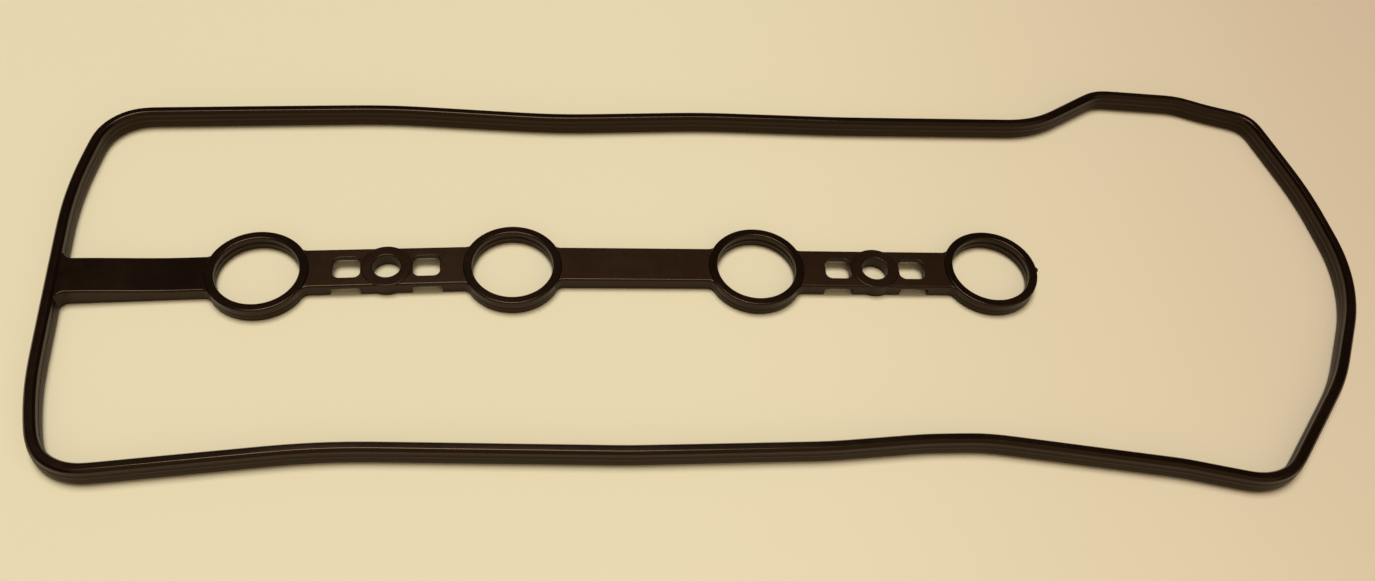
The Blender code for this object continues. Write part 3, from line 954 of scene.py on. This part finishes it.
print("a screen grey of 128 is", round(srgb(128, 128, 128)[0], 3), "of full light")

# %% [markdown]
# ## Moulded rubber
#
# The rubber is a warm brown-black. It has hardly any colour of its own, so its look comes from how it
# reflects: a dull sheen, broken by a fine grain that the mould left, cloudy patches where wax from the
# rubber has come to the surface, and a few pale specks of dust. The upper face of the strip's plate is
# a little rougher than the bead and the rings, as if its part of the mould was less polished, and it is
# painted paler too: a painted sheen for the overhead light that its rougher face scatters. The bosses
# lie between the plate and the rest. Upright sides are rougher still, so that they mirror the pale
# table softly. Each finish is laid on by a mask, so one material serves the whole moulding.

# %% Colours and sheen of the rubber
DARK_RUBBER = (0.0034, 0.0010, 0.0003, 1.0)
BLOOMED_RUBBER = (0.0070, 0.0022, 0.0006, 1.0)
# The plate's upper face is painted this paler colour, a painted sheen of the overhead light
PLATE_PAINTED_SHEEN = (0.0150, 0.0055, 0.0015, 1.0)
DUST = (0.1200, 0.0900, 0.0600, 1.0)
SHEEN_LEVEL = 0.33
SHEEN_TINT = (1.0, 0.64, 0.40, 1.0)
PATCH_SHARE = 0.8
PLATE_SHEEN_SHARE = 0.7
DUST_SHARE = 0.35

# Each noise has a scale, a count of finer layers, and how strongly those layers show
CLOUDS = (28.0, 3.0, 0.5)
BLOOM = (240.0, 5.0, 0.6)
GRAIN = (3200.0, 2.0, 0.5)
CLOUD_SHARE = 0.6
PIT_SCALE = 1700.0
DUST_SCALE = 420.0

# Each mask changes between two values: of noise, of distance to a speck, or of how far a face looks up
PATCHES = (0.38, 0.66)
DUSTY_PLACES = (0.50, 0.62)
SPECKS = (0.03, 0.07)
UPPER_FACES = (0.90, 0.99)
SIDE_FACES = (0.15, 0.60)

# These masks change between two heights, or between two places along x
RIM_HEIGHTS = (STRIP_TOP + 0.0001, STRIP_TOP + 0.0005)
PLATE_HEIGHTS = (STRIP_TOP - 0.0006, STRIP_TOP - 0.0002)
PLATE_PLACES = (-0.165, -0.145)


def plate_mask(recipe, place, upright):
    """How far a spot has the plate's rougher finish and painted sheen: fully on the plate, half on the
    bosses, else not.
    """
    height = recipe.node("ShaderNodeSeparateXYZ", {}, {0: place}, "Z")
    sideways = recipe.node("ShaderNodeSeparateXYZ", {}, {0: place}, "X")
    faces_up = smooth_mask(recipe, upright, *UPPER_FACES)
    below_rims = 1 - smooth_mask(recipe, height, *RIM_HEIGHTS)
    above_foot = smooth_mask(recipe, height, *PLATE_HEIGHTS)
    past_tie = smooth_mask(recipe, sideways, *PLATE_PLACES)
    return faces_up * below_rims * above_foot * past_tie


def rubber_colour(recipe, place, patches, plate, bloom):
    """Brown-black, with bloomed patches, the painted sheen on the plate and a few specks of dust."""
    colour = mix_colours(recipe, patches * PATCH_SHARE, DARK_RUBBER, BLOOMED_RUBBER)
    # Painted sheen: the plate's upper face is painted paler, and the bosses get half of it
    colour = mix_colours(recipe, plate * PLATE_SHEEN_SHARE, colour, PLATE_PAINTED_SHEEN)
    specks = 1 - smooth_mask(recipe, spots(recipe, place, DUST_SCALE), *SPECKS)
    dust = specks * smooth_mask(recipe, bloom, *DUSTY_PLACES)
    return mix_colours(recipe, dust * DUST_SHARE, colour, DUST)


print("dust is scattered about", round(1000 / DUST_SCALE, 1), "mm apart")

# %% Rubber
POLISHED = 0.17
ROUGHER_PATCHES = 0.04
ROUGHER_PLATE = 0.07
ROUGHER_SIDES = 0.20
ROUGHER_GRAIN = 0.04
GRAIN_RELIEF = 0.5
PIT_RELIEF = 0.35
BLOOM_RELIEF = 0.5
RELIEF_STRENGTH = 0.25
RELIEF_DEPTH = 0.00006


def rubber():
    """Material of the gasket."""
    recipe = Recipe("moulded_rubber")
    place = recipe.node("ShaderNodeTexCoord", {}, {}, "Object")
    facing = recipe.node("ShaderNodeNewGeometry", {}, {}, "Normal")
    upright = recipe.node("ShaderNodeSeparateXYZ", {}, {0: facing}, "Z")
    bloom = noise(recipe, place, *BLOOM)
    grain = noise(recipe, place, *GRAIN)
    clouds = noise(recipe, place, *CLOUDS) * CLOUD_SHARE + bloom * (1 - CLOUD_SHARE)
    patches = smooth_mask(recipe, clouds, *PATCHES)
    plate = plate_mask(recipe, place, upright)
    sides = 1 - smooth_mask(recipe, upright, *SIDE_FACES)

    roughness = POLISHED + ROUGHER_PATCHES * patches + ROUGHER_PLATE * plate
    roughness += ROUGHER_SIDES * sides + ROUGHER_GRAIN * grain
    relief = grain * GRAIN_RELIEF + spots(recipe, place, PIT_SCALE) * PIT_RELIEF
    relief += bloom * (BLOOM_RELIEF + plate)
    normal = recipe.node(
        "ShaderNodeBump", {},
        {"Strength": RELIEF_STRENGTH, "Distance": RELIEF_DEPTH, "Height": relief}, "Normal")
    return recipe.finish(
        Base_Color=rubber_colour(recipe, place, patches, plate, bloom),
        Roughness=roughness, Normal=normal,
        Specular_IOR_Level=SHEEN_LEVEL, Specular_Tint=SHEEN_TINT)


gasket_mesh.materials.clear()
gasket_mesh.materials.append(rubber())
print("rubber:", len(gasket_mesh.materials[0].node_tree.nodes), "nodes")

# %% [markdown]
# ## The table
#
# The gasket lies on a pale cream table top. It is a plain square, far larger than the view, with a
# faint change of tone from left to right. It isn't part of the object.

# %% Table top
TABLE_HALF = 6.0
TABLE_LIGHT = srgb(232, 219, 182)
TABLE_SHADE = srgb(204, 178, 150)
TABLE_ROUGHNESS = 0.75
SHADE_FROM = -0.05
SHADE_TO = 0.45


def table_top():
    """Material of the table: cream, a little darker to the right."""
    recipe = Recipe("pale_table")
    place = recipe.node("ShaderNodeTexCoord", {}, {}, "Object")
    sideways = recipe.node("ShaderNodeSeparateXYZ", {}, {0: place}, "X")
    shade = smooth_mask(recipe, sideways, SHADE_FROM, SHADE_TO)
    colour = mix_colours(recipe, shade, TABLE_LIGHT, TABLE_SHADE)
    return recipe.finish(Base_Color=colour, Roughness=TABLE_ROUGHNESS)


def fill_table(shape):
    """One large square at the height of the gasket's feet."""
    corners = ((-1, -1), (1, -1), (1, 1), (-1, 1))
    shape.faces.new([shape.verts.new((x * TABLE_HALF, y * TABLE_HALF, 0.0)) for x, y in corners])


table = new_mesh_object("table", fill_table)
table.location.z = cad_low.z
table.data.materials.append(table_top())
print("table:", 2 * TABLE_HALF, "m square")

# %% [markdown]
# ## Light
#
# The light is soft and comes from above and a little from behind, so the shade in the slots lies along
# their far sides. Rubber this dark is seen mostly by what it mirrors. Its upright walls mirror the
# pale table, and its upper faces mirror the dim room behind, which is why the walls look lighter than
# the crest. So the main light stays well away from the direction that the upper faces mirror, and a
# very wide, warm fill on the near side lifts the shade under the plate. Rays that go straight from the
# camera to the room see it pale, so that low views keep a pale background.

# %% Room and lights
ROOM_LIGHT = 0.08
MAIN_FROM = Vector((-0.15, 0.50, 2.78))
MAIN_SPREAD = math.radians(26)
MAIN_STRENGTH = 2.24
FILL_FROM = Vector((0.40, -1.50, 1.90))
FILL_SIZE = 5.0
FILL_POWER = 34.0
WARM_LIGHT = (1.0, 0.86, 0.66)

world = bpy.data.worlds.new("room")
bpy.context.scene.world = world
world.use_nodes = True
room = world.node_tree.nodes["Background"]
room.inputs["Color"].default_value = (*WARM_LIGHT, 1.0)
room.inputs["Strength"].default_value = ROOM_LIGHT
seen_room = world.node_tree.nodes.new("ShaderNodeBackground")
seen_room.inputs["Color"].default_value = TABLE_LIGHT
choose = world.node_tree.nodes.new("ShaderNodeMixShader")
path = world.node_tree.nodes.new("ShaderNodeLightPath")
world.node_tree.links.new(path.outputs["Is Camera Ray"], choose.inputs[0])
world.node_tree.links.new(room.outputs[0], choose.inputs[1])
world.node_tree.links.new(seen_room.outputs[0], choose.inputs[2])
world.node_tree.links.new(choose.outputs[0], world.node_tree.nodes["World Output"].inputs["Surface"])


def add_light(name, kind, place, energy):
    """A light that shines from a place towards the gasket."""
    data = bpy.data.lights.new(name, kind)
    data.energy = energy
    light = bpy.data.objects.new(name, data)
    light.location = place
    light.rotation_euler = (-place).to_track_quat("-Z", "Y").to_euler()
    light.visible_camera = False
    bpy.context.scene.collection.objects.link(light)
    return data


main_light = add_light("main_light", "SUN", MAIN_FROM, MAIN_STRENGTH)
main_light.angle = MAIN_SPREAD
fill_light = add_light("fill_light", "AREA", FILL_FROM, FILL_POWER)
fill_light.shape = "DISK"
fill_light.size = FILL_SIZE
fill_light.color = WARM_LIGHT
print("main light tilts by", round(math.degrees(MAIN_FROM.angle(Vector((0, 0, 1)))), 1), "degrees")

# %% [markdown]
# ## Camera
#
# The view is from above the front rail, a little to the left, with the camera turned slightly to the
# right and rolled about its own axis. The place and the three angles come from fitting the edges of
# the rings, and the lens from how strongly the rings shrink with distance.

# %% Camera
CAMERA_PLACE = Vector((-0.07258, -0.27916, 0.36246))
CAMERA_DOWN = math.radians(52.438)
CAMERA_TO_RIGHT = math.radians(11.340)
CAMERA_ROLL = math.radians(-8.770)
CAMERA_LENS = 33.27
CAMERA_FILM = 36.0
CAMERA_NEAR = 0.01

look = Vector((
    math.sin(CAMERA_TO_RIGHT) * math.cos(CAMERA_DOWN),
    math.cos(CAMERA_TO_RIGHT) * math.cos(CAMERA_DOWN),
    -math.sin(CAMERA_DOWN)))
level_right = Vector((math.cos(CAMERA_TO_RIGHT), -math.sin(CAMERA_TO_RIGHT), 0.0))
level_up = level_right.cross(look)
camera_right = math.cos(CAMERA_ROLL) * level_right - math.sin(CAMERA_ROLL) * level_up
camera_up = math.sin(CAMERA_ROLL) * level_right + math.cos(CAMERA_ROLL) * level_up

camera_data = bpy.data.cameras.new("camera")
camera_data.lens = CAMERA_LENS
camera_data.sensor_width = CAMERA_FILM
camera_data.clip_start = CAMERA_NEAR
camera = bpy.data.objects.new("camera", camera_data)
turn = Matrix((camera_right, camera_up, -look)).transposed()
camera.matrix_world = Matrix.Translation(CAMERA_PLACE) @ turn.to_4x4()
bpy.context.scene.collection.objects.link(camera)
bpy.context.scene.camera = camera
bpy.context.scene.view_settings.view_transform = "Standard"
print("camera looks down by", round(math.degrees(CAMERA_DOWN), 1), "degrees")
